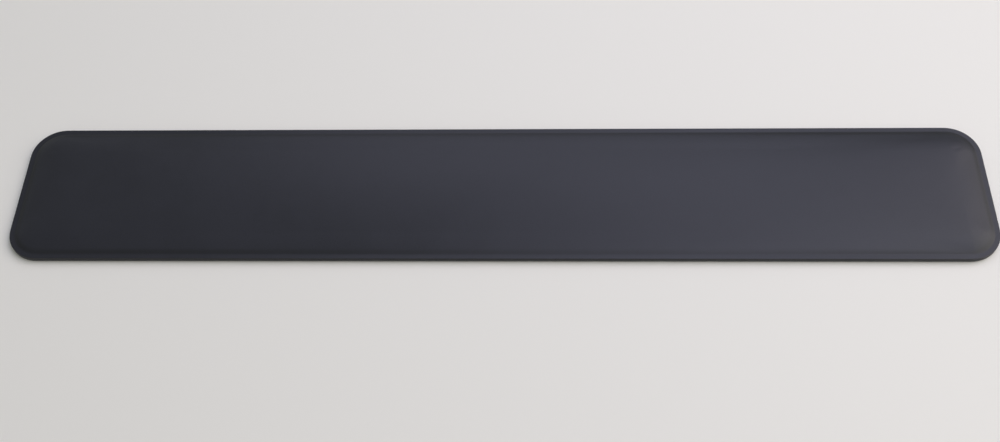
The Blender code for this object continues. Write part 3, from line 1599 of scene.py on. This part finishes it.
@dataclass(frozen=True)
class ViewCamera:
    """The camera over the front of the rest.

    Attributes:
        place: Where it is.
        aim: The point on the desk in the middle of its view.
        roll: Degrees that it is turned about its own axis.
        lens: Focal length, in millimetres.
        sensor: Sensor width, in millimetres.
    """

    place: tuple[float, float, float] = (0.0187, -0.2759, 0.4246)
    aim: tuple[float, float, float] = (0.0008, -0.0133, 0.0)
    roll: float = 3.34
    lens: float = 41.95
    sensor: float = 36.0

    def build(self) -> None:
        """Makes it the scene's camera."""
        data = bpy.data.cameras.new("view_camera")
        data.lens = self.lens
        data.sensor_width = self.sensor
        data.clip_start, data.clip_end = 0.01, 20.0
        camera = bpy.data.objects.new("view_camera", data)
        camera.location = self.place
        back = (Vector(self.place) - Vector(self.aim)).normalized()
        facing = back.to_track_quat("Z", "Y")
        turned = Matrix.Rotation(math.radians(-self.roll), 4, back)
        camera.rotation_euler = (turned @ facing.to_matrix().to_4x4()).to_euler()
        bpy.context.scene.collection.objects.link(camera)
        bpy.context.scene.camera = camera


@dataclass(frozen=True)
class Studio:
    """Lights and surroundings.

    Attributes:
        surround: Colour of the surroundings.
        surround_strength: Their brightness.
        cool: Tint of the light from the windows and the ceiling.
        pink: Tint of the light from the wall.
        warm: Tint of the lamp.
    """

    surround: Color = (0.85, 0.90, 0.85)
    surround_strength: float = 0.34
    cool: Color = (0.75, 0.76, 1.0)
    pink: Color = (1.0, 0.87, 1.0)
    warm: Color = (1.0, 0.96, 0.91)

    def lights(self) -> list[SoftLight]:
        """Returns the softboxes."""
        return [
            SoftLight("window_behind_low", 0.0, 35.0, 1.6, 0.85, 1.15, self.cool),
            SoftLight("window_behind_high", 0.0, 52.0, 1.0, 0.6, 0.80, self.cool),
            SoftLight("window_behind_right", 40.0, 52.0, 1.0, 0.6, 1.25, self.cool),
            SoftLight("wall_behind_right", 60.0, 35.0, 1.6, 0.85, 1.75, self.pink),
            SoftLight("lamp_right", 90.0, 35.0, 1.8, 1.8, 17.0, self.warm),
            SoftLight("ceiling_right", 90.0, 75.0, 1.8, 1.0, 5.6, self.cool),
        ]

    def build(self) -> None:
        """Sets the surroundings, the colour view and the lights."""
        world = bpy.data.worlds.new("surround")
        world.use_nodes = True
        background = world.node_tree.nodes["Background"]
        background.inputs["Color"].default_value = opaque(self.surround)
        background.inputs["Strength"].default_value = self.surround_strength
        scene = bpy.context.scene
        scene.world = world
        scene.view_settings.view_transform = "Standard"
        for light in self.lights():
            light.build()


# ---------------------------------------------------------------- the rest


FILM_NODES = ("foam_bond_film", "plate_bond_film", "rim_bond_ring")
FOOT_ROWS = ("front", "rear")
FOOT_COLUMNS = ("left", "middle", "right")


@dataclass
class WristRest:
    """The whole rest: cushion, inner layers, base and feet.

    Attributes:
        corner_radius: Radius of the outline's corners.
        skin_thickness: The leatherette's thickness.
        skin_to_foam: Gap between skin and foam.
    """

    corner_radius: float = 14.0 * MM
    skin_thickness: float = 0.6 * MM
    skin_to_foam: float = 0.3 * MM

    def build(self) -> None:
        """Builds and dresses every sub-assembly."""
        low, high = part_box("cover_skin")
        plan = Outline(high.x - low.x, high.y - low.y, self.corner_radius)
        self.build_cushion(plan, low.z + self.skin_thickness, high.z)
        self.build_base(plan)
        self.dress_layers()

    def build_cushion(self, plan: Outline, rim_top: float, top: float) -> None:
        """Builds the skin and the foam on one crowned surface.

        Args:
            plan: The rest's outline.
            rim_top: Height of the rim's upper face.
            top: Height of the crown.
        """
        shape = CushionShape(plan, rim_top, top)
        surface = shape.open_surface("cushion_surface")
        shape.crown(surface)
        skin = CoverSkin(shape, self.skin_thickness).build(surface)
        place(skin, Leatherette(plan).make(), Slot.LEATHERETTE, ["cover_skin"])
        inward = self.skin_thickness + self.skin_to_foam
        foam_bottom, _ = node_levels("foam_core")
        foam = CushionFoam(shape, inward, foam_bottom).build(surface)
        place(foam, FoamFinish().make(), Slot.FOAM, ["foam_core"])
        bpy.data.objects.remove(surface, do_unlink=True)

    def build_base(self, plan: Outline) -> None:
        """Builds the base sheet and its feet.

        Args:
            plan: The rest's outline.
        """
        rubber = FootRubber().make()
        feet = []
        for row in FOOT_ROWS:
            for column in FOOT_COLUMNS:
                foot = RubberFoot(f"foot_{row}_{column}")
                place(
                    foot.build(f"rubber_foot_{row}_{column}"),
                    rubber,
                    Slot.RUBBER,
                    [foot.node],
                )
                feet.append(foot)
        base = BaseSheet(plan).build(feet)
        place(base, MouldedPlastic(plan).make(), Slot.BASE, ["base_sheet"])

    def dress_layers(self) -> None:
        """Gives the films and the plate their finishes."""
        film = AdhesiveFilm().make()
        for name in FILM_NODES:
            self.dress_node(name, film)
        self.dress_node("stiffener_plate", ZincedSteel().make())

    def dress_node(self, name: str, material: bpy.types.Material) -> None:
        """Gives one CAD node a finish.

        Args:
            name: The node's name.
            material: Its finish.
        """
        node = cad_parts[name]
        node.data.materials.clear()
        node.data.materials.append(material)
        log.info("%s: dressed as %s", name, material.name)


def main() -> None:
    """Builds the rest and its studio."""
    logging.basicConfig(level=logging.INFO, format="%(name)s: %(message)s")
    WristRest().build()
    Desk().build(DeskFinish().make())
    Studio().build()
    ViewCamera().build()


if __name__ == "__main__":
    main()
